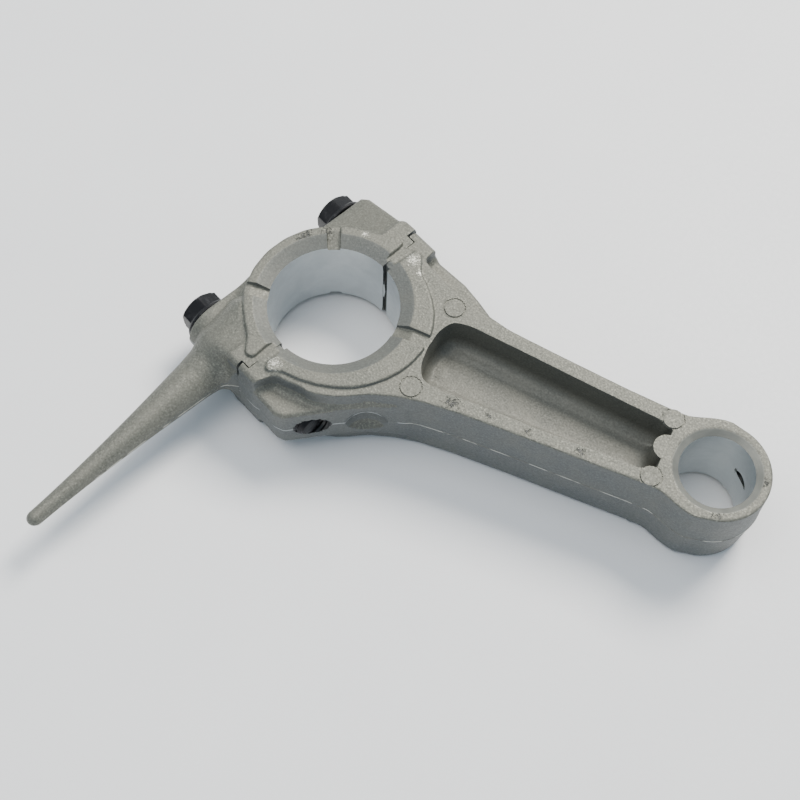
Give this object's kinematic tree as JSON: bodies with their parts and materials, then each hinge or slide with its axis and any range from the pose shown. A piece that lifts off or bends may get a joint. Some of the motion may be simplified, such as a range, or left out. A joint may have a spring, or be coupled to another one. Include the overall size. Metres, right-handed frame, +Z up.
{
  "type": "connecting rod",
  "caption": "Oblique-split engine connecting rod with bolted bearing cap and cast oil dipper.",
  "frame": {"origin": "bottom centre of the bounding box, on the surface that the rod lies on", "axes": "+X from the crank end to the piston pin end, +Z up along both bores, +Y across the rod"},
  "size_m": [0.1704, 0.1256, 0.028],
  "materials": {
    "cast_rod": "matte die-cast aluminium, bores machined",
    "cast_cap": "matte die-cast aluminium, bore machined",
    "black_bolt": "black oxide steel"
  },
  "bodies": {
    "rod": {"rod_body": "cast_rod"},
    "cap": {"bearing_cap": "cast_cap"},
    "upper_bolt": {"upper_cap_bolt": "black_bolt"},
    "lower_bolt": {"lower_cap_bolt": "black_bolt"}
  },
  "joints": [
    {"name": "cap_lift", "type": "slide", "parent": "rod", "child": "cap", "axis": [-0.9259, 0.3778, 0], "range_m": [0, 0.03]},
    {"name": "upper_bolt_draw", "type": "slide", "parent": "cap", "child": "upper_bolt", "axis": [-0.9259, 0.3778, 0], "range_m": [0, 0.045]},
    {"name": "lower_bolt_draw", "type": "slide", "parent": "cap", "child": "lower_bolt", "axis": [-0.9259, 0.3778, 0], "range_m": [0, 0.045]}
  ]
}
